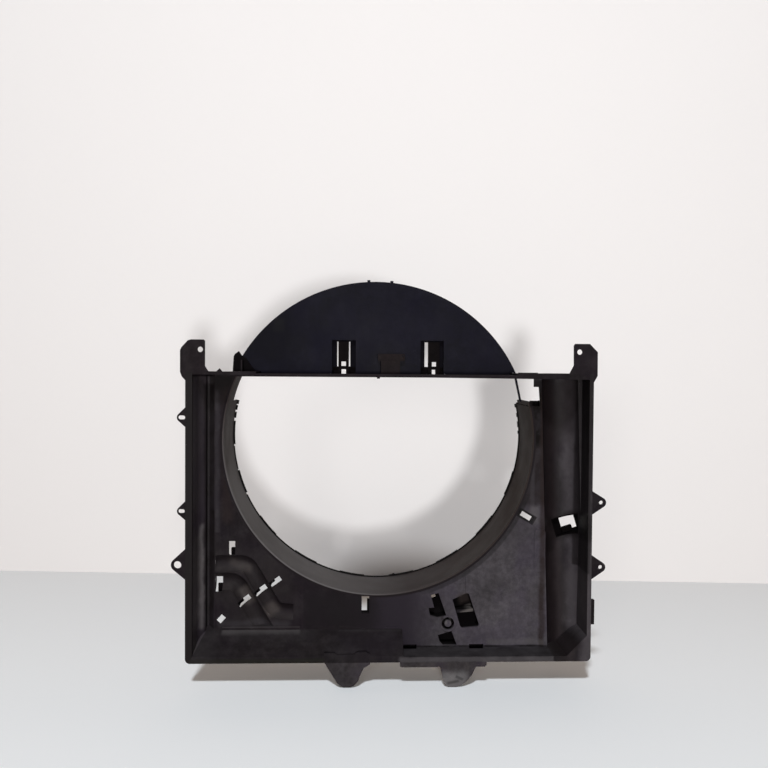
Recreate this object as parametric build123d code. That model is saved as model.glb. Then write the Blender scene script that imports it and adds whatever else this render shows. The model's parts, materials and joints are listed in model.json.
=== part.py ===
from build123d import *
import os
from math import atan2, cos, degrees, pi, sqrt

# Radiator fan shroud: a deep moulded cowl that clips over the radiator, with a
# round fan ring behind it, and a lift-off hood that closes the fan circle above
# the radiator.  Millimetres.  While it is modelled, X runs across the shroud,
# Y from the radiator-side rim (0) towards the fan, and Z up from the rim's
# bottom edge.  At export it moves so that the origin is midway between the two
# ear holes on the rim face.

# ---- driving dimensions ----
RIM_WIDTH = 600.0
RIM_HEIGHT = 428.5
RIM_CORNER = 7.0
WALL = 2.8
LIP = 2.6
LOW_LIP = 1.4
KNOB = 2.9
SIDE_FLANGE = 10.0
RIGHT_FLANGE = 6.0
BOTTOM_FLANGE = 10.0
RAIL_DEPTH = 7.5
TRAY_DEPTH = 40.0

RING_X, RING_Z = -16.3, 325.3
RING_R = 235.0
RING_REAR = 143.0
RING_SHALLOW = 96.0
RING_END = 12.8
LEFT_END = 193.8
RING_SEAT = 5.0
GULLY = 7.0

HOOD_X, HOOD_Z = -21.5, 328.3
HOOD_R = 239.0
HOOD_WALL = 2.6
HOOD_FRONT = 60.0
HOOD_DEPTH = 22.0
TAIL_DEPTH = 5.0
GAP = 0.4

LEDGE_TOP = 37.0
STEP_X = 20.6
LOW_FLOOR = 8.0
GROOVE_DEPTH = 9.0
GROOVE_END = 42.0
BACK_FLATS = 16
GROOVES_TOP = 185.0
GROOVES_RIGHT = -130.0
EAR_Z = 460.6
EAR_SPACING = 557.0
EAR_HOLE_R = 4.0
LUG_HOLE_R = 3.0
BIG_HOLE_R = 5.5
FOOT_REACH = 37.5

# ---- worked out from them ----
LEFT = -RIM_WIDTH / 2
RIGHT = RIM_WIDTH / 2
LEFT_IN = LEFT + SIDE_FLANGE
RIGHT_IN = RIGHT - RIGHT_FLANGE
TOP_IN = RIM_HEIGHT - WALL
RAIL_BOTTOM = RIM_HEIGHT - RAIL_DEPTH
PANEL_BACK = TRAY_DEPTH + WALL
PANEL_HOLE_R = RING_R + RING_SEAT
GUTTER_LEFT, GUTTER_RIGHT, GUTTER_BACK = -276.0, -264.0, 47.0
TROUGH_R, TROUGH_Y = 28.0, TRAY_DEPTH
TROUGH_LOW, TROUGH_HIGH = 272.5, 259.0
CORNER_X = 264.0
SILL_BACK = 67.0
SILL_LEFT, SILL_RIGHT = -240.0, 192.0
TAIL_CLEAR = -232.0
RAIL_LEFT_Z, RAIL_RIGHT_Z = 424.2, 419.8
RAIL_TOP = 425.9
DROP_LEFT, DROP_RIGHT = -198.0, 186.0
HOOD_BACK = HOOD_FRONT + HOOD_WALL
WELL_TOP, WELL_DEPTH = 477.7, 8.0
WELLS = ((-88.9, -52.6), (47.4, 83.1))
WELL_SLOTS = ((-81.2, -61.0), (54.2, 76.0))
TONGUES = ((-79.2, -63.0), (58.9, 76.8))
SIGHTS = ((-71.0, 7.0), (68.3, 6.6))
WELL_FLOOR_BOTTOM = 436.5
ABUTMENT_Y, ABUTMENT_TOP = 73.0, 437.2
SIGHT_LOW, SIGHT_HIGH, SIGHT_HEIGHT = 426.0, 437.9, 6.8
FAR = 700.0


# ---- helpers ----
def block(x0, x1, y0, y1, z0, z1):
    return Pos((x0 + x1) / 2, (y0 + y1) / 2, (z0 + z1) / 2) * Box(x1 - x0, y1 - y0, z1 - z0)


def front_plane(y):
    """Drawing plane that faces the radiator at depth y: sketch x is X, sketch y is Z."""
    return Plane(origin=(0, y, 0), x_dir=(1, 0, 0), z_dir=(0, -1, 0))


def slab(sketch, y0, y1):
    """Extrude a sketch drawn in X and Z from depth y0 back to depth y1."""
    return extrude(front_plane(y0) * sketch, amount=-(y1 - y0))


def outline(*points):
    return make_face(Polyline(*points, close=True))


def turned(width, height, x, z, angle):
    """Rectangle centred at x, z and turned by angle, for sloping slots."""
    return Pos(x, z) * Rot(0, 0, angle) * Rectangle(width, height)


def largest(shape):
    """The main solid of a cut shape, without the crumbs that the cut leaves."""
    return max(shape.solids(), key=lambda solid: solid.volume)


def ring_place(shape, angle=0.0):
    """Turn a shape built about the Y axis by angle and carry it to the fan centre."""
    return Pos(RING_X, 0, RING_Z) * Rot(0, angle, 0) * shape


def ring_sector(profile, start, arc):
    """Revolve a radius-depth profile; angles run clockwise from the right-hand side."""
    return ring_place(revolve(Plane.XY * profile, Axis.Y, arc), start)


# ---- the cowl's tray, as one skin that is parted into its functional pieces ----
def left_plan(grow):
    """Plan of the tray left of the step: flared side wall, then a gutter beside the panel."""
    side = [Line((STEP_X, 0), (LEFT_IN, 0)),
            Line((LEFT_IN, 0), (LEFT_IN + 3, 16)),
            ThreePointArc((LEFT_IN + 3, 16), (LEFT_IN + 6, 28), (GUTTER_LEFT - 1, 38)),
            Polyline((GUTTER_LEFT - 1, 38), (GUTTER_LEFT, GUTTER_BACK), (GUTTER_LEFT + 3, GUTTER_BACK),
                     (GUTTER_RIGHT, TRAY_DEPTH), (STEP_X, TRAY_DEPTH), (STEP_X, 0))]
    face = make_face(side)
    return offset(face, amount=grow, kind=Kind.INTERSECTION) if grow else face


def trough(grow):
    """Deep round channel beside the fan; its axis leans a little towards the fan at the top."""
    low, high = LOW_FLOOR, TOP_IN
    lean = degrees(atan2(TROUGH_HIGH - TROUGH_LOW, high - low))
    middle = ((TROUGH_LOW + TROUGH_HIGH) / 2, TROUGH_Y, (low + high) / 2)
    round_bar = Pos(*middle) * Rot(0, lean, 0) * Cylinder(TROUGH_R + grow, FAR)
    return round_bar & block(STEP_X, RIGHT_IN + grow, 0, 120, low - grow, high + grow)


def trough_edge(z):
    """Where the channel meets the panel at height z."""
    rise = (z - LOW_FLOOR) / (TOP_IN - LOW_FLOOR)
    return TROUGH_LOW + rise * (TROUGH_HIGH - TROUGH_LOW) - TROUGH_R


def corner_prism(grow):
    """Prism that turns the lower right inside corner into a 45 degree gusset."""
    low, side = LOW_FLOOR - grow, RIGHT_IN + grow
    rise = LOW_FLOOR - CORNER_X - grow * sqrt(2)
    return slab(outline((low - rise, low), (side, low), (side, side + rise)), -5, 120)


def left_tray(grow):
    slope = (LEDGE_TOP - BOTTOM_FLANGE) / TRAY_DEPTH
    body = extrude(left_plan(grow), amount=TOP_IN + grow)
    drop = grow * sqrt(1 + slope * slope)
    front, rear = BOTTOM_FLANGE - 20 * slope - drop, BOTTOM_FLANGE + 120 * slope - drop
    wedge = make_face(Polyline((-20, front), (120, rear), (120, -80), (-20, -80), close=True))
    wedge = extrude(Plane(origin=(LEFT - 50, 0, 0), x_dir=(0, 1, 0), z_dir=(1, 0, 0)) * wedge, amount=FAR)
    return body - wedge - block(STEP_X, FAR, -50, 150, -50, 500)


def right_tray(grow):
    low, high = LOW_FLOOR - grow, TOP_IN + grow
    box = block(STEP_X, RIGHT_IN + grow, 0, TRAY_DEPTH + grow, low, high)
    return box + trough(grow) - corner_prism(grow)


def step_wall():
    """Upright wall where the sloping ledge stops and the floor drops."""
    side = make_face(Polyline((0, LOW_FLOOR - WALL), (PANEL_BACK, LOW_FLOOR - WALL),
                              (PANEL_BACK, LEDGE_TOP + 1.8), (0, BOTTOM_FLANGE), close=True))
    return extrude(Plane(origin=(STEP_X - WALL, 0, 0), x_dir=(0, 1, 0), z_dir=(1, 0, 0)) * side, amount=WALL)


def under_rail(top):
    """Front face of the top rail, whose lower edge drops towards the right."""
    return outline((LEFT_IN, RAIL_LEFT_Z), (RIGHT_IN, RAIL_RIGHT_Z), (RIGHT_IN, top), (LEFT_IN, top))


def tray_skin():
    skin = (left_tray(WALL) + right_tray(WALL) + step_wall()) - left_tray(0) - right_tray(0)
    skin = skin - block(-FAR, FAR, -50, 0, -50, 500)
    rim = slab(Pos(0, RIM_HEIGHT / 2) * Rectangle(RIM_WIDTH, RIM_HEIGHT), 0, WALL)
    rim = fillet(rim.edges().filter_by(Axis.Y).group_by(Axis.Z)[0], RIM_CORNER)
    rim = rim - left_tray(0) - right_tray(0)
    return skin + rim + slab(under_rail(TOP_IN), 0, WALL)


def parted_tray():
    """The skin cut into panel, side wall, channel, bottom wall and top rail."""
    skin = tray_skin()
    panel_zone = slab(outline((GUTTER_RIGHT, LEDGE_TOP), (STEP_X, LEDGE_TOP), (STEP_X, LOW_FLOOR),
                              (trough_edge(LOW_FLOOR), LOW_FLOOR), (trough_edge(RAIL_BOTTOM), RAIL_BOTTOM),
                              (GUTTER_RIGHT, RAIL_BOTTOM)), TRAY_DEPTH, PANEL_BACK)
    top_zone = slab(under_rail(500), -5, WALL)
    top_zone = top_zone + block(LEFT_IN, RIGHT_IN, WALL, 150, RAIL_BOTTOM, 500)
    mitre = (LEDGE_TOP - BOTTOM_FLANGE) / (GUTTER_LEFT - LEFT_IN)
    corner = BOTTOM_FLANGE - mitre * (LEFT_IN - LEFT + 30)
    left_zone = slab(outline((LEFT - 30, corner), (GUTTER_LEFT, LEDGE_TOP),
                             (-250, LEDGE_TOP), (-250, 500), (LEFT - 30, 500)), -5, 150)
    right_zone = slab(outline((trough_edge(LOW_FLOOR), -20), (trough_edge(LOW_FLOOR), LOW_FLOOR),
                              (trough_edge(RAIL_BOTTOM), RAIL_BOTTOM), (trough_edge(RAIL_BOTTOM), 500),
                              (FAR, 500), (FAR, -20)), -5, 150)
    right_zone = right_zone + block(200, FAR, PANEL_BACK, 150, -20, 500)
    panel = skin & panel_zone
    rest = skin - panel_zone
    rail = rest & top_zone
    rest = rest - top_zone
    left = rest & left_zone
    right = rest & right_zone
    bottom = rest - left_zone - right_zone
    return panel, left, right, bottom, rail


# ---- details of the back panel ----
def pipe_groove(points, radius, bend, end):
    """Round trough pressed back into the panel along a bent route: (what it removes, the shell it adds)."""
    depth = TRAY_DEPTH + GROOVE_DEPTH - radius
    route = FilletPolyline(*[(x, depth, z) for x, z in points], radius=bend)
    start = Plane(origin=route @ 0, x_dir=(0, 1, 0), z_dir=route % 0)
    inner = sweep(start * Circle(radius), path=route)
    outer = sweep(start * RegularPolygon((radius + WALL) / cos(pi / BACK_FLATS), BACK_FLATS), path=route)
    outer = outer & block(GUTTER_RIGHT, STEP_X, TRAY_DEPTH, 100, LEDGE_TOP, 300)
    return inner & block(*end, 0, 100, GROOVE_END, 300), outer


def pocket(sketch, depth):
    """Blind pocket behind the panel: (what it removes, the housing that closes it)."""
    hollow = slab(sketch, TRAY_DEPTH - 1, TRAY_DEPTH + depth)
    housing = slab(offset(sketch, amount=2.0, kind=Kind.INTERSECTION), TRAY_DEPTH, TRAY_DEPTH + depth + 2.0)
    return hollow, housing


# clip windows: centre x and z, length, width, turn
PIPE_CLIPS = ((-237.8, 160.8, 9.4, 22.4, 0), (-257.6, 105.6, 9.9, 21.8, 0),
              (-172.6, 109.8, 20.0, 8.0, 35.6), (-195.0, 95.2, 20.0, 7.9, 36.2),
              (-219.8, 79.6, 20.2, 8.0, 36.5))
DRAIN_WINDOW = (12.5, 8.2, -254.0, 53.3, 48)
LOW_SLOT = (11.4, 26.6, -35.5, 74.0, 0)
RING_SLOT = (24.5, 11.0, 210.0, 210.4, -31)
SLOT_MOUTH = (18.5, 7.6, 210.2, 209.2, -31)
# pipe grooves: route in x and z, trough radius, bend radius, where the hollow runs in x
GROOVES = ((((-300.0, 138.5), (-215.0, 138.5), (-172.0, 66.5), (-140.0, 63.0)), 12.9, 18.0, (-300.0, -145.0)),
           (((-300.0, 111.0), (-231.4, 111.0), (-178.4, 21.6)), 14.2, 20.0, (-300.0, -150.0)))


def left_panel(panel):
    panel = panel & block(-FAR, STEP_X, 0, 100, 0, 500)
    pressed = [pipe_groove(*groove) for groove in GROOVES]
    for inner, outer in pressed:
        panel = panel + outer
    for inner, outer in pressed:
        panel = panel - inner
    for x0, x1 in ((-252.0, -135.0), (-76.0, STEP_X - WALL)):
        bead = block(x0, x1, TRAY_DEPTH - 1.6, TRAY_DEPTH, LEDGE_TOP + 0.6, LEDGE_TOP + 4.6)
        panel = panel + chamfer(bead.edges().filter_by(Axis.X).group_by(Axis.Y)[0].group_by(Axis.Z)[-1], 1.2)
    windows = [turned(w, h, x, z, a) for x, z, w, h, a in PIPE_CLIPS]
    for window in windows + [turned(*DRAIN_WINDOW), turned(*LOW_SLOT)]:
        panel = panel - slab(window, TRAY_DEPTH - 5, 100)
    return panel


def hooked_finger(x, z, width, height, angle):
    """Finger that stands on the panel's back beside a clip window and hooks in behind it."""
    place = Pos(x, z) * Rot(0, 0, angle)
    if angle:
        arm = Pos(-width / 2 - 1.2, 1.0) * Rectangle(2.4, height * 0.8)
        tip = Pos(-width / 2 + 3.0, 1.2) * Rectangle(6.4, height * 0.7)
    else:
        arm = Pos(width / 2 + 1.2, -height * 0.33) * Rectangle(2.4, height * 0.42)
        tip = Pos(1.8, -height * 0.42) * Rectangle(10.6, height * 0.6)
    return slab(place * arm, PANEL_BACK, 62) + slab(place * tip, 56, 62)


def slot_hook():
    """Cranked finger that closes the lower end and the right edge of the low slot from behind."""
    width, height, x, z, turn = LOW_SLOT
    right, low = x + width / 2, z - height / 2
    back, front = PANEL_BACK + 9.2, PANEL_BACK + 6.8
    foot = block(x - 8, right + 2.4, PANEL_BACK, back, low - 2.4, low)
    shelf = block(x - 8, right + 2.4, front, back, low - 2.4, low + 1.6)
    side = block(right - 3.2, right + 2.4, front, back, low, low + 20)
    return foot + shelf + side


def pipe_hooks():
    """Hooked fingers that stand behind the windows and hold two pipes in the grooves."""
    return [hooked_finger(*clip) for clip in PIPE_CLIPS] + [slot_hook()]


RIGHT_POCKETS = ((((64.5, 88.5), (76.0, 91.8), (88.6, 56.3), (75.0, 54.0), (63.3, 57.2), (60.9, 68.8),
                   (69.5, 69.5)), 24.0),
                 (((75.5, 27.1), (96.5, 33.2), (104.7, 11.5), (83.6, 11.5), (78.2, 17.1)), 26.0),
                 (((97.6, 81.7), (119.0, 91.6), (122.9, 90.1), (138.7, 43.0), (137.2, 39.9), (112.6, 37.7),
                   (109.5, 40.8)), 24.0),
                 (((217.6, 379.2), (217.6, 384.8), (228.4, 384.8), (228.4, 378.4)), 10.0))
CUP_X, CUP_Z, CUP_R, PIN_R = 90.7, 45.5, 9.6, 5.2
SPY_HOLE = (7.6, 5.6, 70.0, 80.6, 18)
CORNER_WINDOW = ((170, 386.3), (229.1, 386.3), (227.3, 407.7), (219.6, 407.7))
POCKET_BAR = (26, 4.5, 117.5, 63.0, 4)
PAD_CENTRE, PAD_SIZE, PAD_CORNER, PAD_HEIGHT = (231.0, 157.0), (17, 66), 6, 1.6
LOW_NOTCHES = ((STEP_X + 2.0, 43.0), (123.6, 145.3))
NOTCH_FRONT, NOTCH_TOP = 35.0, 12.8


def right_panel(panel):
    panel = panel & block(STEP_X, FAR, 0, 100, 0, 500)
    shapes = [(outline(*points), depth) for points, depth in RIGHT_POCKETS]
    hollows = []
    for sketch, depth in shapes:
        hollow, housing = pocket(sketch, depth)
        panel = panel + housing
        hollows.append(hollow)
    cup = Pos(CUP_X, CUP_Z)
    panel = panel + slab(cup * Circle(CUP_R + 3), TRAY_DEPTH - 2, TRAY_DEPTH + 12)
    hollows.append(slab(cup * (Circle(CUP_R) - Circle(PIN_R)), TRAY_DEPTH - 3, TRAY_DEPTH + 9.5))
    for hollow in hollows:
        panel = panel - hollow
    pin_top = Pos(CUP_X, TRAY_DEPTH + 4, CUP_Z) * Sphere(PIN_R + 0.9)
    panel = panel + (pin_top & slab(cup * Circle(PIN_R), TRAY_DEPTH - 6, TRAY_DEPTH + 4))
    bar = slab(turned(*POCKET_BAR), TRAY_DEPTH + 5, TRAY_DEPTH + 24)
    panel = panel + (bar & slab(shapes[2][0], TRAY_DEPTH, 100))
    pad = Pos(*PAD_CENTRE) * RectangleRounded(*PAD_SIZE, PAD_CORNER)
    panel = panel + slab(pad, TRAY_DEPTH - PAD_HEIGHT, TRAY_DEPTH)
    far = PANEL_HOLE_R + GULLY
    gully = make_face(Polyline((PANEL_HOLE_R, 30), (far, 30), (far, TRAY_DEPTH),
                               (PANEL_HOLE_R, TRAY_DEPTH + 1.6), close=True))
    gully = ring_sector(gully, 20, 55)
    window = outline(*CORNER_WINDOW, (219.6, FAR), (170, FAR))
    width, height, x, z, turn = RING_SLOT
    collar = slab(turned(width + 3, height + 3, x, z, turn), PANEL_BACK, PANEL_BACK + 5)
    panel = panel + (collar - slab(turned(*SLOT_MOUTH), PANEL_BACK - 1, 100))
    panel = panel - gully - slab(turned(*RING_SLOT), TRAY_DEPTH - 5, PANEL_BACK)
    panel = panel - slab(window, TRAY_DEPTH - 5, 100)
    panel = panel - slab(turned(*SPY_HOLE), TRAY_DEPTH + 10, 100)
    for x0, x1 in LOW_NOTCHES:
        panel = panel - block(x0, x1, TRAY_DEPTH - 5, 100, 0, NOTCH_TOP)
    return panel & block(STEP_X, FAR, 0, 100, 0, RAIL_BOTTOM)


def foot_boss():
    """Thickening on the ledge above the left foot, with a rounded right end."""
    face = outline((-97.0, 5.0), (-97.0, 14.6), (-81.0, 14.6), (-78.0, 12.0), (-53.0, 12.4), (-48.0, 15.4),
                   (-35.0, 15.8), (-29.5, 13.0), (-27.6, 8.0), (-28.5, 5.0))
    return slab(face, 0, 14) & left_tray(0)


def notched(bottom):
    """The bottom wall with two catch pockets sunk where the floor meets the panel."""
    for x0, x1 in LOW_NOTCHES:
        housing = block(x0 - 3, x1 + 3, NOTCH_FRONT - 2, 56, 1.2, NOTCH_TOP + 2)
        room = block(x0, x1, NOTCH_FRONT, 54, 3.2, NOTCH_TOP)
        keep = block(-FAR, FAR, 0, PANEL_BACK, LOW_FLOOR, 100)
        bottom = bottom + (housing - keep) - room
    return bottom


# ---- fan ring ----
def ring_profile(depth):
    """Wall section in radius and depth, with a thin seat that meets the panel round its front edge."""
    inner, outer = RING_R, RING_R + WALL
    return make_face(Polyline((inner, depth), (inner, TRAY_DEPTH + 1.4), (inner + 1.4, TRAY_DEPTH),
                              (PANEL_HOLE_R, TRAY_DEPTH), (PANEL_HOLE_R, PANEL_BACK), (outer, PANEL_BACK),
                              (outer, depth), close=True))


def ring_block(r0, r1, y0, y1):
    return Pos((r0 + r1) / 2, (y0 + y1) / 2) * Rectangle(r1 - r0, y1 - y0)


# the rear lip, in degrees: where it starts, the gaps on its left, and short teeth near the ring's two ends
LIP_START, LIP_NICK = 5, 0.9
LIP_TEETH = ((-9.0, 1.6), (-5.6, 2.4), (-1.8, 1.2), (186.6, 2.4), (189.8, 1.9))


def fan_ring():
    ring = ring_sector(ring_profile(RING_REAR), -RING_END, LEFT_END + RING_END)
    tail = ring_sector(ring_profile(RING_SHALLOW), LEFT_END, 14)
    ring = ring + (tail - block(-FAR, FAR, 0, 200, RAIL_BOTTOM, FAR))
    lip = ring_block(RING_R - LIP, RING_R + 0.02, RING_REAR - 3.0, RING_REAR)
    low_lip = ring_block(RING_R - LOW_LIP, RING_R + 0.02, RING_REAR - 3.0, RING_REAR)
    ring = ring + ring_sector(low_lip, -RING_END, LIP_START + RING_END)
    for step in range(18):
        nick = LIP_NICK if step > 14 else 0
        ring = ring + ring_sector(lip if step % 2 else low_lip, LIP_START + 10 * step + nick, 10 - nick * 0.6)
    for start, arc in LIP_TEETH:
        ring = ring + ring_sector(lip, start, arc)
    knob = ring_block(RING_R - KNOB, RING_R + 2.0, RING_REAR - 6.0, RING_REAR)
    ring = ring + ring_sector(knob, -RING_END, 1.4) + ring_sector(knob, LEFT_END - 1.6, 1.6)
    rib = ring_block(RING_R + 0.6, RING_R + 5.0, PANEL_BACK, RING_REAR - 13)
    end = ring_sector(rib, -RING_END - 1.6, 2.4)
    drip = ring_sector(ring_block(RING_R - 4.0, RING_R + 0.02, RING_REAR - 2.4, RING_REAR), 82.6, 0.9)
    return ring + end + drip


RIB_ANGLES = (45, 62, 79, 106, 123, 140, 157)


def ring_ribs(ring):
    """Triangular webs that brace the ring against the back of the panel."""
    side = make_face(Polyline((RING_R, PANEL_BACK), (PANEL_HOLE_R + 17, PANEL_BACK),
                              (RING_R + WALL + 2, 100), (RING_R, 100), close=True))
    web = Pos(0, 0, -1.2) * extrude(Plane.XY * side, amount=2.4)
    solid_ring = ring_place(Rot(-90, 0, 0) * Cylinder(RING_R + WALL, 400))
    return [largest(ring_place(web, angle) - solid_ring - ring) for angle in RIB_ANGLES]


# ---- ears, lugs and feet ----
def ears():
    holes = [Pos(side * EAR_SPACING / 2, EAR_Z) * Circle(EAR_HOLE_R) for side in (-1, 1)]
    left = outline((-300.0, 415.5), (-305.0, 421.0), (-307.5, 428.0), (-307.5, 459.6), (-305.2, 464.0),
                   (-296.4, 473.6), (-291.5, 475.0), (-273.8, 475.0), (-271.8, 473.0), (-271.8, 436.4),
                   (-266.7, RIM_HEIGHT), (-280, RIM_HEIGHT - 8), (-290, 416.0))
    right = outline((300.0, 416.0), (303.0, 421.2), (305.4, 425.5), (305.2, 460.7), (293.4, 472.8),
                    (271.6, 472.8), (269.8, 470.0), (270.1, 440.8), (263.7, RIM_HEIGHT),
                    (280, RIM_HEIGHT - 8), (290, 416.0))
    frame = Pos(0, RIM_HEIGHT / 2) * Rectangle(RIM_WIDTH, RIM_HEIGHT)
    pieces = []
    for shape, hole, side in ((left, holes[0], -1), (right, holes[1], 1)):
        plate = slab(shape - frame - hole, 0, 3.0)
        rib = block(side * 286 - 1.1, side * 286 + 1.1, 3.0, 11.0, RIM_HEIGHT, 450)
        foot = block(side * 286 - 14, side * 286 + 14, 3.0, 11.0, RIM_HEIGHT, RIM_HEIGHT + 2.2)
        pieces.append(plate + rib + foot)
    return pieces


def lug(side, root_low, root_high, hole_x, hole_z, hole, rim_r):
    """Tapering tab on the rim's edge with a rounded tip round its hole."""
    edge = side * RIM_WIDTH / 2
    tip = Pos(hole_x, hole_z) * Circle(rim_r)
    root = Line((edge, root_low), (edge, root_high))
    shape = make_hull(tip.edges() + [root])
    shape = shape - Pos(hole_x, hole_z) * hole
    keep = Pos(side * (RIM_WIDTH / 2 + 50), 200) * Rectangle(100, 600)
    return slab(shape & keep, 0, 3.0)


def lugs():
    return {"left_upper_lug": lug(-1, 347.5, 376.0, -305.0, 361.4, SlotOverall(10.2, 5.8), 6.9),
            "left_middle_lug": lug(-1, 211.5, 239.0, -305.2, 224.6, SlotOverall(9.4, 5.8), 6.5),
            "left_lower_lug": lug(-1, 124.2, 168.8, -310.9, 145.8, Circle(BIG_HOLE_R), 9.5),
            "right_middle_lug": lug(1, 219.6, 254.3, 313.0, 237.4, Circle(LUG_HOLE_R), 7.5),
            "right_lower_lug": lug(1, 122.9, 158.9, 313.0, 141.0, Circle(LUG_HOLE_R), 7.5)}


def foot(points):
    """Hollow tongue below the rim, open behind, that drops into the lower support."""
    skin = outline(*points)
    core = slab(offset(skin, amount=-3.0, kind=Kind.INTERSECTION), 3, 20)
    return (slab(skin, 0, 14) - core) & block(-FAR, FAR, 0, 14, -100, 0)


def feet():
    left = foot(((-96.5, 1), (-94.5, -2.6), (-77.6, -30.0), (-73.6, -34.0), (-68.0, -36.2), (-58.0, -36.4),
                 (-52.0, -33.8), (-46.6, -28.0), (-42.6, -17.0), (-38.0, -8.0), (-29.0, -2.6), (-28.0, 1)))
    right = foot(((74.5, 1), (76.2, -10.0), (78.2, -20.0), (81.4, -31.0), (87.0, -37.0), (93.0, -FOOT_REACH),
                  (99.5, -FOOT_REACH), (108.0, -34.2), (115.4, -28.2), (122.4, -19.6), (128.0, -8.0),
                  (130.0, 1)))
    skirt = outline((15.5, 1), (15.5, -6.4), (18.5, -7.4), (142.0, -7.0), (144.0, -5.0), (144.6, 1))
    skirt = slab(skirt, 0, 3) & block(-FAR, FAR, 0, 14, -100, 0)
    return left, right + skirt


# ---- what holds the hood ----
def latch(well, tongue, sight):
    """Springy tongue with two sight windows, between two dark abutments behind the sill."""
    top = WELL_TOP - 2.4
    x0, x1 = tongue
    whole = block(x0, x1, HOOD_FRONT + 1.0, HOOD_FRONT + 3.4, RAIL_TOP, top)
    whole = whole + block(x0 + 2, x1 - 2, HOOD_FRONT + 3.4, HOOD_FRONT + 5.4, top - 6, top)
    window_x, half = sight[0], sight[1] / 2
    for side0, side1 in ((well[0] - 3.2, window_x - half), (window_x + half, well[1] + 3.2)):
        whole = whole + block(side0, side1, SILL_BACK, ABUTMENT_Y + 2.4, RAIL_TOP - WALL, RAIL_TOP)
        whole = whole + block(side0, side1, ABUTMENT_Y, ABUTMENT_Y + 2.4, RAIL_TOP, ABUTMENT_TOP)
    for z0 in (SIGHT_LOW, SIGHT_HIGH):
        whole = whole - block(window_x - half, window_x + half, 50, 90, z0, z0 + SIGHT_HEIGHT)
    return whole


def centre_bracket():
    post = block(-14.0, 15.0, 49, 56, RAIL_TOP, 446) - block(-11.0, 12.0, 52, 60, RAIL_TOP - 1, 443)
    head = slab(Pos(2.0, 451.2) * RectangleRounded(41.3, 10.8, 1.5), 53.5, 56)
    head = head - slab(Pos(20.0, 453.6) * Circle(1.2), 50, 60)
    return post + head


def hood_guide():
    """Forked bracket on the sill that the hood's left corner drops into."""
    front = slab(outline((-239.9, RIM_HEIGHT), (-238.4, 451.6), (-236.6, 454.9), (-230.7, 459.3),
                         (-226.4, 452.9), (-219.4, 448.4), (-205.6, RIM_HEIGHT)), 55.6, HOOD_FRONT - GAP)
    rear = slab(outline((TAIL_CLEAR, RIM_HEIGHT), (-225, 444), (-216, 444), (-215, RIM_HEIGHT)),
                HOOD_BACK + GAP, HOOD_BACK + GAP + 2.4)
    web = block(-226, -223.6, PANEL_BACK, 55.6, RIM_HEIGHT, 446)
    return front + rear + web


# ---- the hood ----
def hood_disc(radius):
    return Pos(HOOD_X, HOOD_Z) * Circle(radius)


def above_sill():
    """Where the hood may reach: down to the dropped rail between the shoulders, higher outside them."""
    high = Pos(0, RIM_HEIGHT + GAP + FAR / 2) * Rectangle(2 * FAR, FAR)
    low = outline((DROP_LEFT + GAP, RAIL_TOP + GAP), (DROP_RIGHT - GAP, RAIL_TOP + GAP),
                  (DROP_RIGHT - GAP, FAR), (DROP_LEFT + GAP, FAR))
    return high + low


def hood_panel():
    face = hood_disc(HOOD_R - HOOD_WALL) & above_sill()
    panel = slab(face, HOOD_FRONT, HOOD_BACK)
    floor = HOOD_FRONT + WELL_DEPTH
    for (x0, x1), (slot0, slot1) in zip(WELLS, WELL_SLOTS):
        panel = panel + block(x0 - 2, x1 + 2, HOOD_BACK, floor + 2, RAIL_TOP + GAP, WELL_TOP + 2)
        panel = panel - block(x0, x1, HOOD_FRONT - 1, floor, 0, WELL_TOP)
        panel = panel - block(x0, x1, HOOD_FRONT - 1, 100, 0, WELL_FLOOR_BOTTOM)
        panel = panel - block(slot0, slot1, HOOD_FRONT - 1, 100, 0, WELL_TOP - 2.4)
    return panel


def hood_rim():
    band = slab(hood_disc(HOOD_R) - hood_disc(HOOD_R - HOOD_WALL), HOOD_FRONT, HOOD_FRONT + HOOD_DEPTH)
    low = RIM_HEIGHT + GAP
    band = band & block(-FAR, FAR, 0, 200, low, FAR)
    reach = sqrt(HOOD_R ** 2 - (low - HOOD_Z) ** 2)
    skin = HOOD_R - sqrt((HOOD_R - HOOD_WALL) ** 2 - (low - HOOD_Z) ** 2) + reach - HOOD_R
    right = outline((HOOD_X + reach, low), (HOOD_X + reach - skin, low), (202.3, 384), (204.9, 384))
    left = outline((HOOD_X - reach, low), (HOOD_X - reach + skin, low), (-248.0, 384), (-250.6, 384))
    for tail in (left, right):
        band = band + slab(tail, HOOD_FRONT, HOOD_FRONT + TAIL_DEPTH)
    for x in (-33.0, 2.4):
        z = HOOD_Z + sqrt(HOOD_R ** 2 - (x - HOOD_X) ** 2)
        band = band + block(x - 2.3, x + 2.3, HOOD_FRONT, HOOD_FRONT + 6, z - 1.2, z + 2.8)
    return band


def hood_ribs():
    """Upright stiffeners on the back of the hood panel, beside the latch slots."""
    ribs = []
    for x in (-100.0, -40.0, 35.0, 96.0):
        top = HOOD_Z + sqrt((HOOD_R - HOOD_WALL) ** 2 - (x - HOOD_X) ** 2) - 1.5
        ribs.append(block(x - 1.0, x + 1.0, HOOD_BACK, HOOD_BACK + 9, RAIL_TOP + 9, top))
    return ribs


# ---- the rest of the cowl's fittings ----
# strap clip, each as width, height, centre x and z, turn
STRAP_SEAT = (40, 30, 278.0, 191.5, 18)
STRAP_EYE = (24, 22, 283.5, 193.5, 17)
STRAP_FINGER = (17, 8, 281.0, 184.0, 18)
SEAT_FRONT, SEAT_BACK = 50, 78


def channel(right):
    """The deep channel, with a sloping seat pressed through its floor for the strap clip."""
    return right - slab(turned(*STRAP_SEAT), SEAT_FRONT, 100)


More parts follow.
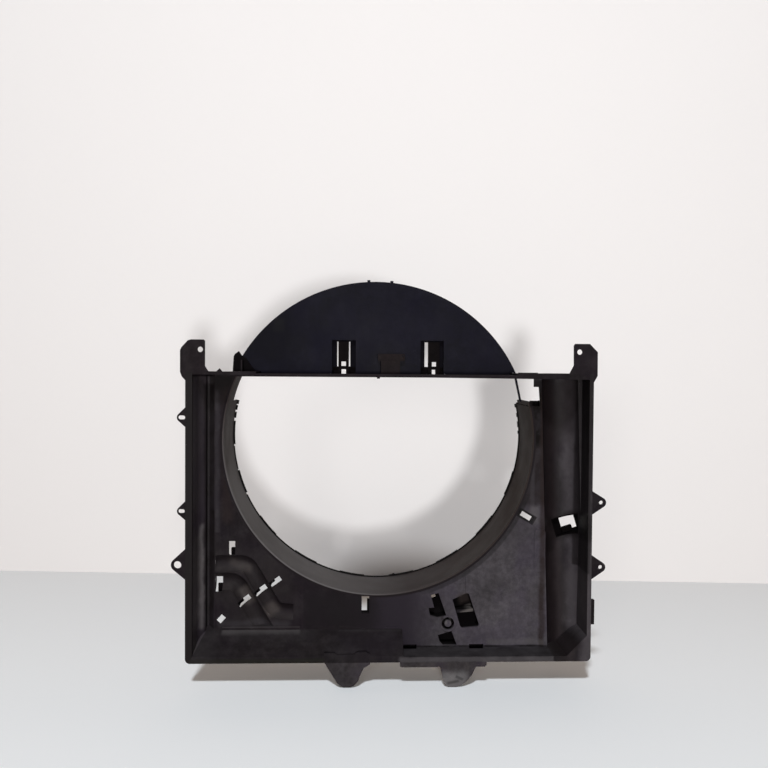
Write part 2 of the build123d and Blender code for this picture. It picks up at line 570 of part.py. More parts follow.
def strap_clip():
    """Sunk seat in the channel floor with a square eye and a hooked finger for a hose strap."""
    outer = turned(*STRAP_SEAT)
    inner = offset(outer, amount=-2.0, kind=Kind.INTERSECTION)
    cup = slab(outer, SEAT_FRONT - 6, SEAT_BACK) - slab(inner, SEAT_FRONT - 7, SEAT_BACK - 2)
    cup = cup - right_tray(0) - slab(turned(*STRAP_EYE), SEAT_BACK - 8, FAR)
    return cup + slab(turned(*STRAP_FINGER), SEAT_BACK - 8, SEAT_BACK)


def rail(tray_top):
    """Top rail: a sill that carries the hood, dropped between its shoulders, with an upstand behind."""
    sill = block(SILL_LEFT, SILL_RIGHT, PANEL_BACK, HOOD_FRONT - 1.0, TOP_IN, RIM_HEIGHT)
    sill = sill + block(TAIL_CLEAR, SILL_RIGHT, HOOD_FRONT - 1.0, SILL_BACK, TOP_IN, RIM_HEIGHT)
    whole = tray_top + sill
    whole = whole - block(DROP_LEFT, DROP_RIGHT, -1, 100, RAIL_TOP, 500)
    whole = whole + block(DROP_LEFT, DROP_RIGHT, 0, SILL_BACK, RAIL_TOP - WALL, RAIL_TOP)
    stops = (DROP_LEFT, WELLS[0][0] - 3), (WELLS[0][1] + 3, WELLS[1][0] - 3), (WELLS[1][1] + 3, DROP_RIGHT)
    for x0, x1 in stops:
        whole = whole + block(x0, x1, HOOD_BACK + 0.6, HOOD_BACK + 2.6, RAIL_TOP, RAIL_TOP + 4)
    for x0, x1 in ((-214.4, DROP_LEFT), (DROP_RIGHT, DROP_RIGHT + 5)):
        whole = whole + block(x0, x1, HOOD_BACK + 0.6, HOOD_BACK + 2.6, RAIL_TOP, RIM_HEIGHT + 3)
    nub = slab(outline((-255.5, RIM_HEIGHT), (-250.5, 433.2), (-246.5, RIM_HEIGHT)), 0, 3)
    raised = block(188, 216.3, 0, 6, RIM_HEIGHT, 429.7)
    stop = block(-21.5, -17.0, 0, 3, RAIL_BOTTOM - 1.4, RAIL_TOP - WALL)
    return whole + nub + raised + stop


def edge_block():
    return block(RIGHT, 304.8, 0, 7, 55.3, 91.9)


# ---- build, place and write ----
def build():
    panel, left, right, bottom, top = parted_tray()
    hole = ring_place(Rot(-90, 0, 0) * Cylinder(PANEL_HOLE_R, 400))
    hole = hole & block(-FAR, FAR, TRAY_DEPTH - 1, PANEL_BACK + 40, -50, RAIL_BOTTOM)
    panel = panel - hole
    ring = fan_ring() - right
    for slot in (LOW_SLOT, RING_SLOT):
        ring = ring - slab(turned(*slot), TRAY_DEPTH - 1, PANEL_BACK + 6)
    left_half = left_panel(panel) - left - ring
    upper_half = left_half & block(-FAR, FAR, 0, 150, GROOVES_TOP, FAR)
    low_left = left_half & block(-FAR, FAR, 0, 150, 0, GROOVES_TOP)
    groove_panel = low_left & block(-FAR, GROOVES_RIGHT, 0, 150, 0, FAR)
    bottom_wall = notched(bottom) + foot_boss()
    low_panel = low_left & block(GROOVES_RIGHT, FAR, 0, 150, 0, FAR)
    right_half = right_panel(panel) - bottom_wall - ring - right
    parts = {"left_panel": upper_half, "groove_panel": groove_panel, "low_panel": low_panel,
             "right_panel": right_half, "left_wall": left, "right_channel": channel(right), "bottom_wall": bottom_wall,
             "top_rail": rail(top), "fan_ring": ring, "ring_ribs": ring_ribs(ring)}
    parts["left_ear"], parts["right_ear"] = ears()
    parts.update(lugs())
    parts["left_foot"], parts["right_foot"] = feet()
    parts["left_latch"], parts["right_latch"] = map(latch, WELLS, TONGUES, SIGHTS)
    parts["centre_bracket"] = centre_bracket()
    parts["hood_guide"] = hood_guide()
    parts["pipe_hooks"] = [largest(hook - left_half) for hook in pipe_hooks()]
    parts["strap_clip"] = largest(strap_clip() - parts["right_channel"])
    parts["edge_block"] = edge_block()
    parts["hood_panel"] = hood_panel()
    parts["hood_rim"] = hood_rim()
    parts["hood_ribs"] = hood_ribs()
    return parts


def main():
    os.makedirs("parts", exist_ok=True)
    home = Pos(0, 0, -EAR_Z)
    for name, shape in build().items():
        pieces = shape if isinstance(shape, list) else [shape]
        solids = [home * solid for piece in pieces for solid in piece.solids()]
        whole = solids[0] if len(solids) == 1 else Compound(children=solids)
        export_step(whole, f"parts/{name}.step")


main()
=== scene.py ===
import json
import math

import bmesh
import bpy
from bpy.props import FloatProperty, FloatVectorProperty, PointerProperty
from bpy.types import Operator, Panel, PropertyGroup
from mathutils import Euler, Matrix, Vector, noise


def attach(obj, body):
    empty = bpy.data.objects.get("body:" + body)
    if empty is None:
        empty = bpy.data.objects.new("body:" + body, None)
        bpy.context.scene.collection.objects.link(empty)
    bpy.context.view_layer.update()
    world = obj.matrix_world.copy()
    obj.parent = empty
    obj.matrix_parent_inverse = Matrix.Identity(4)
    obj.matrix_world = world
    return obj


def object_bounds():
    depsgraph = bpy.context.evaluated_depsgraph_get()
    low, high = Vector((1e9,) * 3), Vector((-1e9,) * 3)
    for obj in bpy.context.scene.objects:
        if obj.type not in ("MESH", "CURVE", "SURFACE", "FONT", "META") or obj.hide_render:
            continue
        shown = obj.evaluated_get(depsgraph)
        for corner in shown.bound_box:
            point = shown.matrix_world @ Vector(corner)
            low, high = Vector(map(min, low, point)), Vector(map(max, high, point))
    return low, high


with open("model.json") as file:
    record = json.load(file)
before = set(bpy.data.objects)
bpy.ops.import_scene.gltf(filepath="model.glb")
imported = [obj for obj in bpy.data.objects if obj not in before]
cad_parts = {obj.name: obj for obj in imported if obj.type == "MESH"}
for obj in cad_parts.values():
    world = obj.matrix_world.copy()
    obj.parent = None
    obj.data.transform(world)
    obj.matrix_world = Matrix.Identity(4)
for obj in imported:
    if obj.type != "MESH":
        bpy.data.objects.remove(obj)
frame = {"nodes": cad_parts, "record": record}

bl_info = {
    "name": "Radiator fan shroud",
    "version": (1, 0, 0),
    "blender": (4, 5, 0),
    "location": "3D View > Sidebar > Shroud",
    "description": "Dresses the packed radiator fan shroud and sets it on a plain stage",
    "category": "Object",
}

CAD_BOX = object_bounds()
LOW, HIGH = (Vector(corner) for corner in CAD_BOX)
RECORD = frame["record"]
COWL, HOOD = "cowl", "hood"
HOOD_NODES = tuple(RECORD["behaviour"]["bodies"][HOOD])
COWL_NODES = tuple(RECORD["behaviour"]["bodies"][COWL])
# in metres: the fan's axis, then the depths behind which the tray and the hood get painted shade, and one
# past it all
FAN_X, FAN_Z = -0.0163, -0.1353
TRAY_BACK, HOOD_BACK, PAST_ALL = 0.0428, 0.0635, 0.2


# ---- shader maths ----
class Field:
    """A socket of the material being built, with arithmetic that adds Math nodes."""

    def __init__(self, tree, socket):
        self.tree = tree
        self.socket = socket

    def _math(self, operation, *values, clamp=False):
        node = self.tree.nodes.new("ShaderNodeMath")
        node.operation = operation
        node.use_clamp = clamp
        for slot, value in zip(node.inputs, values):
            if isinstance(value, Field):
                self.tree.links.new(value.socket, slot)
            else:
                slot.default_value = value
        return Field(self.tree, node.outputs[0])

    def __add__(self, other):
        return self._math("ADD", self, other)

    def __radd__(self, other):
        return self._math("ADD", other, self)

    def __sub__(self, other):
        return self._math("SUBTRACT", self, other)

    def __rsub__(self, other):
        return self._math("SUBTRACT", other, self)

    def __mul__(self, other):
        return self._math("MULTIPLY", self, other)

    def __rmul__(self, other):
        return self._math("MULTIPLY", other, self)

    def __truediv__(self, other):
        return self._math("DIVIDE", self, other)

    def root(self):
        return self._math("SQRT", self)

    def clamp(self):
        return self._math("ADD", self, 0.0, clamp=True)

    def between(self, low, high, soft):
        """1 from low to high, fading out over soft on both sides."""
        return self.ramp(low - soft, low + soft) * self.ramp(high + soft, high - soft)

    def ramp(self, low, high):
        """0 below low, 1 above high, smooth between."""
        node = self.tree.nodes.new("ShaderNodeMapRange")
        node.interpolation_type = "SMOOTHSTEP"
        node.inputs["From Min"].default_value = low
        node.inputs["From Max"].default_value = high
        self.tree.links.new(self.socket, node.inputs["Value"])
        return Field(self.tree, node.outputs[0])


class Finish:
    """One procedural material: nodes by type, settings first, then the sockets' values or links."""

    def __init__(self, name):
        self.material = bpy.data.materials.new(name)
        self.material.use_nodes = True
        self.tree = self.material.node_tree
        self.tree.nodes.clear()
        self.output = self.tree.nodes.new("ShaderNodeOutputMaterial")

    def node(self, kind, settings=None, **sockets):
        made = self.tree.nodes.new(kind)
        for key, value in (settings or {}).items():
            setattr(made, key, value)
        for key, value in sockets.items():
            slot = made.inputs[key.replace("_", " ")]
            if isinstance(value, Field):
                self.tree.links.new(value.socket, slot)
            else:
                slot.default_value = value
        return made

    def field(self, made, output=0):
        return Field(self.tree, made.outputs[output])

    def place(self, scale, shift):
        coords = self.field(self.node("ShaderNodeTexCoord"), "Object")
        return self.field(self.node("ShaderNodeMapping", Vector=coords, Scale=scale, Location=(shift,) * 3))

    def noise(self, scale, detail=4.0, roughness=0.55, stretch=(1, 1, 1), shift=0.0):
        made = self.node("ShaderNodeTexNoise", Vector=self.place(stretch, shift), Scale=scale,
                         Detail=detail, Roughness=roughness)
        return self.field(made, "Fac")

    def mix(self, factor, first, second):
        made = self.node("ShaderNodeMix", {"data_type": "RGBA"})
        for slot, value in ((made.inputs[0], factor), (made.inputs[6], first), (made.inputs[7], second)):
            if isinstance(value, Field):
                self.tree.links.new(value.socket, slot)
            else:
                slot.default_value = value
        return Field(self.tree, made.outputs[2])

    def facing(self, axis):
        """How far the surface faces along X, Y or Z, from -1 to 1."""
        normal = self.field(self.node("ShaderNodeNewGeometry"), "Normal")
        split = self.node("ShaderNodeSeparateXYZ", Vector=normal)
        return self.field(split, axis)

    def position(self):
        """The object coordinates along X, Y and Z, in metres."""
        coords = self.field(self.node("ShaderNodeTexCoord"), "Object")
        split = self.node("ShaderNodeSeparateXYZ", Vector=coords)
        return [self.field(split, axis) for axis in "XYZ"]

    def bump(self, height, strength, distance):
        made = self.node("ShaderNodeBump", Height=height, Strength=strength, Distance=distance)
        return self.field(made)

    def surface(self, **sockets):
        shader = self.node("ShaderNodeBsdfPrincipled", **sockets)
        self.tree.links.new(shader.outputs[0], self.output.inputs[0])
        return self.material

    def open_from_behind(self):
        """Let the camera look through the back of the surface."""
        shown = self.output.inputs[0].links[0].from_socket
        behind = (self.field(self.node("ShaderNodeNewGeometry"), "Backfacing")
                  * self.field(self.node("ShaderNodeLightPath"), "Is Camera Ray"))
        both = self.node("ShaderNodeMixShader", Fac=behind)
        clear = self.node("ShaderNodeBsdfTransparent")
        self.tree.links.new(shown, both.inputs[1])
        self.tree.links.new(clear.outputs[0], both.inputs[2])
        self.tree.links.new(both.outputs[0], self.output.inputs[0])


def rgb(colour):
    return (*colour, 1.0)


# ---- materials ----
BLACK = (0.0022, 0.0018, 0.002)
MILLIMETRE = 0.001
VIOLET_TINT = (0.98, 0.84, 1.22)
BRACKET = (0.0085, 0.0052, 0.0058)
# in metres: how deep the grain is, the front edge's fade, and the depth over which the painted shade of the
# hollows fades in
GRAIN_DEPTH, RIM_FADE, HOLLOW_FADE = 0.0005, (0.004, 0.002), 0.003
# the dark line between the ring and the right panel, painted shade with dirt in the gully: its radii and its
# softness
GULLY_REACH, GULLY_SOFT = (0.2405, 0.2465), 0.0015
# the ring's rear lip in depth and radius, and the radii where its outside starts
LIP_DEPTH, LIP_REACH, RING_OUTSIDE = (0.1385, 0.1398), (0.2348, 0.2342), (0.2362, 0.2372)


def around_fan(x, z):
    """Sideways, upward and straight distance from the fan's axis."""
    aside, above = x - FAN_X, z - FAN_Z
    return aside, above, (aside * aside + above * above).root()


def lay_patches(make, tone, x, z, patches, wander, blotches):
    """Lay patches of wear, dirt, painted shade and painted light over a colour: x0, x1, z0, z1, softness in
    millimetres, turn in degrees, colour and strength. Their edges wander by as much as they are soft."""
    for x0, x1, z0, z1, soft, turn, colour, strength in patches:
        lean, fall = math.cos(math.radians(turn)), math.sin(math.radians(turn))
        drift = wander * (soft * 2.4 * MILLIMETRE)
        aside = x + drift - (x0 + x1) / 2 * MILLIMETRE
        above = z + drift - (z0 + z1) / 2 * MILLIMETRE
        half, tall = (x1 - x0) / 2 * MILLIMETRE, (z1 - z0) / 2 * MILLIMETRE
        edge = soft * MILLIMETRE
        mask = (aside * lean + above * fall).between(-half, half, edge)
        mask = mask * (above * lean - aside * fall).between(-tall, tall, edge)
        tone = make.mix(mask * strength * (blotches * 0.3 + 0.78), tone, rgb(colour))
    return tone


def moulded(name, base, worn, dust, lying, patches=(), inside=(), deep=TRAY_BACK, shade=0.85, relief=0.2,
            gloss=0.045, grit=160.0, gully=0.0, tint=0.45, fade=None, rim=None):
    """Grained plastic: clouded, tinted and streaked fading, dust on what faces up, patches of wear, dirt,
    painted light and painted shade, painted shade in what lies deep, and patches inside the deep parts. A
    fade blends the colour sideways into another, and a rim is the colour of the front edge."""
    make = Finish(name)
    x, y, z = make.position()
    clouds = make.noise(9.0, 6.0, 0.66).ramp(0.34, 0.68)
    tints = make.noise(17.0, 4.0, 0.6, shift=0.7).ramp(0.42, 0.62)
    blotches = make.noise(38.0, 5.0, 0.7, shift=1.9).ramp(0.42, 0.72)
    mottles = make.noise(130.0, 4.0, 0.7, shift=2.6).ramp(0.36, 0.66)
    streaks = make.noise(75.0, 3.0, 0.6, (1.0, 1.0, 0.06)).ramp(0.47, 0.8)
    specks = make.noise(420.0, 2.0, 0.7).ramp(0.6, 0.78)
    up = make.facing("Z").ramp(-0.05, 0.95)
    dark, light = (rgb([c * share for c in base]) for share in (0.5, 1.5))
    tone = make.mix(clouds * 0.65 + mottles * 0.35, dark, light)
    violet = [c * share for c, share in zip(base, VIOLET_TINT)]
    tone = make.mix(tints * tint, tone, rgb(violet))
    tone = make.mix(blotches * 0.34 + streaks * 0.24, tone, rgb(worn))
    settled = ((up * 0.8 + up * blotches * 0.5 + specks * 0.14) * lying).clamp()
    tone = make.mix(settled, tone, rgb(dust))
    if fade:
        start, end, colour = fade
        tone = make.mix(x.ramp(start * MILLIMETRE, end * MILLIMETRE), tone, rgb(colour))
    wander = make.noise(26.0, 4.0, 0.65, shift=4.1) - 0.5
    tone = lay_patches(make, tone, x, z, patches, wander, blotches)
    if rim:
        tone = make.mix(y.ramp(*RIM_FADE) * 0.95, tone, rgb(rim))
    # painted shade with dirt: a dark band in the gully outside the ring's lower right
    if gully:
        aside, above, reach = around_fan(x, z)
        band = reach.between(*GULLY_REACH, GULLY_SOFT) * aside.ramp(0.05, 0.1) * above.ramp(-0.07, -0.1)
        tone = make.mix(band * gully, tone, rgb(BLACK))
    # painted shade: what lies deeper than deep, except faces turned to the back, is darkened towards black
    # for the shade in recesses and pockets, and made rougher
    painted_recess_shade = y.ramp(deep, deep + HOLLOW_FADE) * make.facing("Y").ramp(0.9, 0.5) * shade
    tone = lay_patches(make, make.mix(painted_recess_shade, tone, rgb(BLACK)), x, z, inside, wander, blotches)
    grain = make.noise(900.0, 2.0, 0.5) * 0.7 + make.noise(grit, 4.0, 0.65) * 0.6
    rough = (0.5 + clouds * 0.1 + streaks * 0.08 + up * 0.12 + painted_recess_shade * 0.5).clamp()
    return make.surface(Base_Color=tone, Roughness=rough, Normal=make.bump(grain, relief, GRAIN_DEPTH),
                        Specular_IOR_Level=gloss)


def ring_nylon(name, look):
    """The fan ring's band: brown dust that thickens low on the left, and a black rear lip."""
    make = Finish(name)
    x, y, z = make.position()
    aside, above, reach = around_fan(x, z)
    clouds = make.noise(11.0, 5.0, 0.6).ramp(0.35, 0.7)
    rings = make.noise(30.0, 4.0, 0.6, (0.25, 2.4, 0.25)).ramp(0.4, 0.75)
    specks = make.noise(380.0, 2.0, 0.7).ramp(0.58, 0.8)
    right = (aside / reach).ramp(0.1, 0.95)
    low_left = (aside / reach + above / reach).ramp(-0.7, -1.35)
    lighter = rgb([c * 1.35 for c in look.ring_dust])
    tone = make.mix(clouds * 0.6 + rings * 0.4, rgb(look.ring_dust), lighter)
    tone = make.mix((aside / reach).ramp(-0.5, -0.95), tone, rgb(look.side_dust))
    tone = make.mix(low_left, tone, rgb(look.pale_dust))
    tone = make.mix(right * (0.55 + rings * 0.3), tone, rgb(look.brown_dirt))
    tone = make.mix(specks * 0.25, tone, rgb(look.cowl_colour))
    tone = make.mix(y.ramp(*LIP_DEPTH), tone, rgb(BLACK))
    tone = make.mix(reach.ramp(*LIP_REACH), tone, rgb(BLACK))
    tone = make.mix(reach.ramp(*RING_OUTSIDE), tone, rgb(look.cowl_colour))
    grain = make.noise(900.0, 2.0, 0.5) * 0.7 + make.noise(120.0, 3.0, 0.6) * 0.6
    return make.surface(Base_Color=tone, Roughness=(0.62 + clouds * 0.2).clamp(),
                        Normal=make.bump(grain, 0.25, GRAIN_DEPTH), Specular_IOR_Level=0.08)


def colour(name, description, default):
    """A colour in the sidebar."""
    return FloatVectorProperty(name=name, description=description, subtype="COLOR", size=3,
                               min=0, max=1, default=default)


def length(name, description, low, high, default):
    """A distance in metres in the sidebar."""
    return FloatProperty(name=name, description=description, subtype="DISTANCE", unit="LENGTH",
                         min=low, max=high, default=default)


class ShroudFinish(PropertyGroup):
    cowl_colour: colour("Cowl", "Black nylon of the cowl", (0.0066, 0.0048, 0.006))
    ledge_colour: colour("Ledge", "Deep black of the sloping ledge", (0.0058, 0.0045, 0.0053))
    # the right panel is a lighter bluish grey than the rest of the cowl: fading, and a painted sheen
    panel_colour: colour("Right panel", "Bluish, faded nylon of the right panel", (0.044, 0.041, 0.047))
    hood_colour: colour("Hood", "Blue-black plastic of the hood", (0.0026, 0.0025, 0.006))
    worn_colour: colour("Worn nylon", "Where the black has faded to grey", (0.024, 0.0215, 0.0235))
    dust_colour: colour("Dust", "Dust that lies on ledges", (0.062, 0.056, 0.055))
    hood_worn: colour("Worn hood", "Where the hood has faded", (0.0088, 0.0085, 0.0148))
    ring_dust: colour("Ring dust", "Dust baked onto the fan ring", (0.029, 0.0245, 0.0245))
    side_dust: colour("Side dust", "Dust on the ring's left side", (0.038, 0.0325, 0.033))
    pale_dust: colour("Pale dust", "Thicker dust low on the ring", (0.086, 0.083, 0.085))
    flash_height: length("Flash height", "How far the ragged flash stands on the ring", 0.0005, 0.004, 0.0026)
    brown_dirt: colour("Brown dirt", "Oily brown dirt", (0.02, 0.0135, 0.0105))


class ShroudStage(PropertyGroup):
    wall_colour: colour("Wall colour", "Pale backdrop", (0.76, 0.765, 0.775))
    floor_colour: colour("Floor colour", "Pale table top", (0.9, 0.96, 1.0))
    lens: FloatProperty(name="Lens", description="Focal length of the camera in millimetres", min=10, max=200,
                        default=37.5)
    wall_gap: length("Wall distance", "From the rim face back to the wall", 0.2, 5, 0.62)


# patches of wear, dirt, painted shade and painted light: x0, x1, z0, z1, softness in millimetres, turn in
# degrees, colour, strength
PALE, FADED, GREY = (0.075, 0.072, 0.072), (0.045, 0.043, 0.049), (0.022, 0.0205, 0.022)
# the near-black third colour here is soot on some parts and painted shade in gutters, under the top rail,
# round the strap clip and in the latches on others
OLIVE, BROWN, SOOT_AND_SHADE = (0.0075, 0.0075, 0.0055), (0.0125, 0.008, 0.0075), (0.0038, 0.0028, 0.003)
VIOLET, STONE, LEAD = (0.0135, 0.011, 0.0155), (0.021, 0.0192, 0.0205), (0.029, 0.0265, 0.031)
RIGHT_WEAR_AND_SHADE = ((168, 214, -300, -150, 16, 0, LEAD, 0.5),
              (190, 244, -236, -136, 7, 0, (0.0105, 0.0082, 0.0092), 1.05),
              # dirt and painted shadow under the top rail, between the ring and the channel
              (188, 246, -142, -40, 6, 0, (0.0022, 0.0014, 0.0013), 1.1),
              (216, 222, -235, -150, 2, 0, FADED, 0.3),
              (231, 240, -455, -60, 3, 0, BROWN, 0.85),
              (216, 229, -262, -236, 4, 0, (0.1, 0.096, 0.098), 0.35),
              (150, 240, -449, -440, 3, 0, PALE, 0.3),
              (20, 250, -453, -449.5, 1, 0, BLACK, 0.9),
              (117.0, 117.8, -369, -344, 0.4, 0, BLACK, 0.5),
              # painted shade at the left edge of the round cup
              (80, 84, -419, -406, 2, 0, (0.012, 0.01, 0.011), 0.7))
# painted shade: the frame round the ring slot is painted black
POCKET_LIGHT_AND_SHADE = ((195.4, 225.0, -258.0, -244.2, 0.7, -31, BLACK, 1.0),
               # painted light on the upper part of pocket C, over the painted recess shade
               (108, 124, -391, -368, 4, 18, (0.03, 0.024, 0.023), 0.75),
               # painted highlight: the pale bar in pocket C
               (110, 130, -402, -396, 2.5, 22, (0.13, 0.12, 0.115), 0.6),
               # painted highlights on the dome of the round cup
               (85, 89, -417, -408, 1.5, 0, (0.1, 0.094, 0.095), 0.5),
               (93, 96.5, -416, -407, 1.5, 0, (0.09, 0.085, 0.086), 0.45))
LEFT_WEAR_AND_SHADE = ((-252, -236, -260, -50, 6, 0, BROWN, 0.55), (-264, -257, -280, -60, 3, 0, FADED, 0.3),
             # dirt and painted shadow under the top rail, then painted shade in the gutter by the left wall
             (-270, -222, -60, -36, 8, 0, SOOT_AND_SHADE, 0.95), (-278, -271, -420, -60, 3, 0, SOOT_AND_SHADE, 0.9),
             (-135, -20, -425, -366, 14, 0, (0.0056, 0.0044, 0.0056), 0.85))
GROOVE_WEAR_LIGHT_AND_SHADE = ((-276, -150, -352, -304, 12, 0, (0.0165, 0.0148, 0.0155), 0.5),
               (-250, -150, -416, -352, 16, 0, (0.0125, 0.011, 0.0114), 0.5),
               # painted shade in the gutter by the left wall
               (-276, -265, -420, -290, 2, 0, SOOT_AND_SHADE, 0.9),
               # dust and painted highlight on the groove crowns, in three pale patches
               (-244, -208, -334, -322, 5, -20, (0.042, 0.037, 0.036), 0.6),
               (-224, -206, -386, -358, 5, 32, (0.054, 0.048, 0.046), 0.6),
               (-188, -168, -402, -384, 5, 30, (0.052, 0.045, 0.043), 0.6),
               (-258, -150, -420, -410, 5, 0, FADED, 0.3))
WALL_WEAR_LIGHT_AND_SHADE = ((-292, -279, -408, -290, 12, 0, (0.044, 0.0405, 0.044), 0.85),
             # wear and a painted highlight: the bright strip on the wall's fold
             (-283.5, -279, -420, -262, 4, 0, (0.16, 0.153, 0.16), 0.6),
             (-298, -279, -230, -60, 12, 0, (0.025, 0.022, 0.0265), 0.75),
             # dirt and painted shadow under the top rail, then painted shade in the gutter
             (-268, -222, -60, -36, 6, 0, SOOT_AND_SHADE, 0.8),
             (-279, -264, -425, -50, 2.5, 0, SOOT_AND_SHADE, 0.95))
# painted shade on the channel's left half, then painted light on its right half
CHANNEL_WEAR_LIGHT_AND_SHADE = ((236, 266, -470, -20, 9, 4.3, (0.0082, 0.0058, 0.006), 0.75),
                (276, 298, -470, -20, 7, 3.1, (0.062, 0.057, 0.064), 0.58),
                # painted shadow at the top of the channel, under the rail
                (240, 288, -130, -40, 20, 0, (0.0062, 0.0042, 0.0044), 0.75),
                # painted light along the edge of the lit half
                (262, 272, -470, -250, 6, 2.6, (0.03, 0.024, 0.027), 0.35),
                # painted shade round and below the strap clip
                (252, 304, -288, -250, 5, 18, SOOT_AND_SHADE, 0.85), (236, 256, -312, -286, 6, 0, SOOT_AND_SHADE, 0.75),
                (278, 300, -425, -340, 8, 0, (0.07, 0.064, 0.07), 0.3),
                # painted shade on the channel's right wall
                (287, 297, -330, -30, 1.5, 0, (0.0045, 0.0035, 0.0038), 0.8))
LEDGE_WEAR_AND_LIGHT = ((-300, -96, -460.6, -454, 2, 0, OLIVE, 0.8),
              # painted highlight along the top edge of the ledge, left part
              (-252, -135, -428, -417, 3, 0, (0.052, 0.049, 0.051), 0.85),
              # the second patch on the next line carries the same painted highlight along the ledge's middle
              (-236, -110, -436, -422, 8, 0, GREY, 0.4), (-76, 18, -426, -420, 2, 0, GREY, 0.6),
              (15, 300, -461, -452, 3, 0, (0.06, 0.057, 0.062), 0.68),
              (-90, 20, -452, -424, 18, 0, VIOLET, 0.3),
              (-292, -258, -458, -420, 10, 0, STONE, 0.5))
FOOT_WEAR = ((76, 116, -500, -474, 7, 0, (0.13, 0.13, 0.136), 0.62),
             (86, 104, -492, -488, 1.5, 12, SOOT_AND_SHADE, 0.55),
             (98, 110, -486, -482, 1.2, -25, SOOT_AND_SHADE, 0.5))
HOOD_WEAR = ((-178, -162, 29, 48, 3, 0, (0.014, 0.014, 0.014), 0.5),
             (-90, 90, 15, 60, 25, 0, (0.0072, 0.007, 0.0125), 0.4),
             (-230, -150, -20, 60, 24, 0, (0.0012, 0.0011, 0.0022), 0.75))


# ---- operators ----
def dress(node, material):
    """Give one CAD node its material."""
    mesh = frame["nodes"][node].data
    mesh.materials.clear()
    mesh.materials.append(material)


class SHROUD_OT_cowl(Operator):
    """Give the cowl's pieces their dusty black nylon"""
    bl_idname = "shroud.cowl"
    bl_label = "Dress the cowl"

    def execute(self, context):
        look = context.scene.shroud_finish
        cowl, worn, dust = look.cowl_colour, look.worn_colour, look.dust_colour
        plain = moulded("cowl_nylon", cowl, worn, dust, 0.25)
        nylon = {
            "right_panel": moulded("right_panel_nylon", look.panel_colour, worn, dust, 0.2, RIGHT_WEAR_AND_SHADE,
                                   POCKET_LIGHT_AND_SHADE, shade=0.98, gully=0.55, tint=0.25, fade=(96, 20, VIOLET)),
            "low_panel": moulded("low_panel_nylon", cowl, worn, dust, 0.2, LEFT_WEAR_AND_SHADE, fade=(-80, 20, VIOLET)),
            "left_panel": moulded("left_panel_nylon", cowl, worn, dust, 0.2, LEFT_WEAR_AND_SHADE),
            "groove_panel": moulded("groove_nylon", cowl, worn, dust, 0.35, GROOVE_WEAR_LIGHT_AND_SHADE, deep=PAST_ALL),
            "left_wall": moulded("left_wall_nylon", worn, look.side_dust, dust, 0.1, WALL_WEAR_LIGHT_AND_SHADE,
                                 deep=PAST_ALL, gloss=0.09, rim=SOOT_AND_SHADE),
            "right_channel": moulded("channel_nylon", cowl, worn, dust, 0.2, CHANNEL_WEAR_LIGHT_AND_SHADE,
                                     deep=PAST_ALL, gloss=0.09),
            "bottom_wall": moulded("ledge_nylon", look.ledge_colour, worn, dust, 0.04, LEDGE_WEAR_AND_LIGHT,
                                   gloss=0.06),
            "right_foot": moulded("foot_nylon", worn, dust, look.pale_dust, 0.4, FOOT_WEAR,
                                  relief=1.0, grit=300.0),
            "left_foot": moulded("left_foot_nylon", worn, FADED, dust, 0.1, relief=0.5, grit=240.0),
            "centre_bracket": moulded("bracket_nylon", BRACKET, SOOT_AND_SHADE, worn, 0.1, deep=PAST_ALL),
            # painted shade: the strap clip is made near black for the deep shade in its seat
            "strap_clip": moulded("clip_nylon", BLACK, SOOT_AND_SHADE, worn, 0.05, shade=0.97, gloss=0.02),
            # the latches are near-black nylon with painted shade for their deep recesses
            "left_latch": moulded("latch_nylon", SOOT_AND_SHADE, BROWN, worn, 0.05, shade=0.5, gloss=0.04),
            "fan_ring": ring_nylon("ring_nylon", look),
        }
        nylon["right_latch"] = nylon["left_latch"]
        for node in COWL_NODES:
            dress(node, nylon.get(node, plain))
        return {"FINISHED"}


# the flash: steps along it, thickness, how far it sinks into the edge, and how fast it varies
TORN_STEPS, TORN_THICK, TORN_SUNK, TORN_PACE = 44, 0.0017, 0.3 * MILLIMETRE, 23.0
# the ring's right end: radius, front, back, and its angle in degrees
RING_IN, RING_FRONT, RING_BACK, RIGHT_END = 0.2352, 0.0446, 0.1415, 12.6


def torn_edge(name, corner, along, upright, tall, finish):
    """A ragged strip of flash that stands on an edge: where it starts, its run and its upward direction."""
    shape = bmesh.new()
    bmesh.ops.create_grid(shape, x_segments=TORN_STEPS, y_segments=3, size=0.5)
    run, lift = Vector(along), Vector(upright)
    for vert in shape.verts:
        share, height = vert.co.x + 0.5, vert.co.y + 0.5
        ragged = 0.35 + 0.65 * abs(noise.noise(Vector((share * TORN_PACE, 0.7, height * 1.3)))) * 2.0
        vert.co = Vector(corner) + run * share + lift * (tall * height * ragged - TORN_SUNK)
    grown = bmesh.ops.extrude_face_region(shape, geom=shape.faces[:])["geom"]
    moved = [part for part in grown if isinstance(part, bmesh.types.BMVert)]
    bmesh.ops.translate(shape, verts=moved, vec=run.cross(lift).normalized() * TORN_THICK)
    bmesh.ops.subdivide_edges(shape, edges=shape.edges[:], cuts=1, smooth=0.3)
    bmesh.ops.recalc_face_normals(shape, faces=shape.faces[:])
    mesh = bpy.data.meshes.new(name)
    shape.to_mesh(mesh)
    shape.free()
    mesh.materials.append(finish)
    piece = bpy.data.objects.new(name, mesh)
    bpy.context.scene.collection.objects.link(piece)
    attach(piece, COWL)


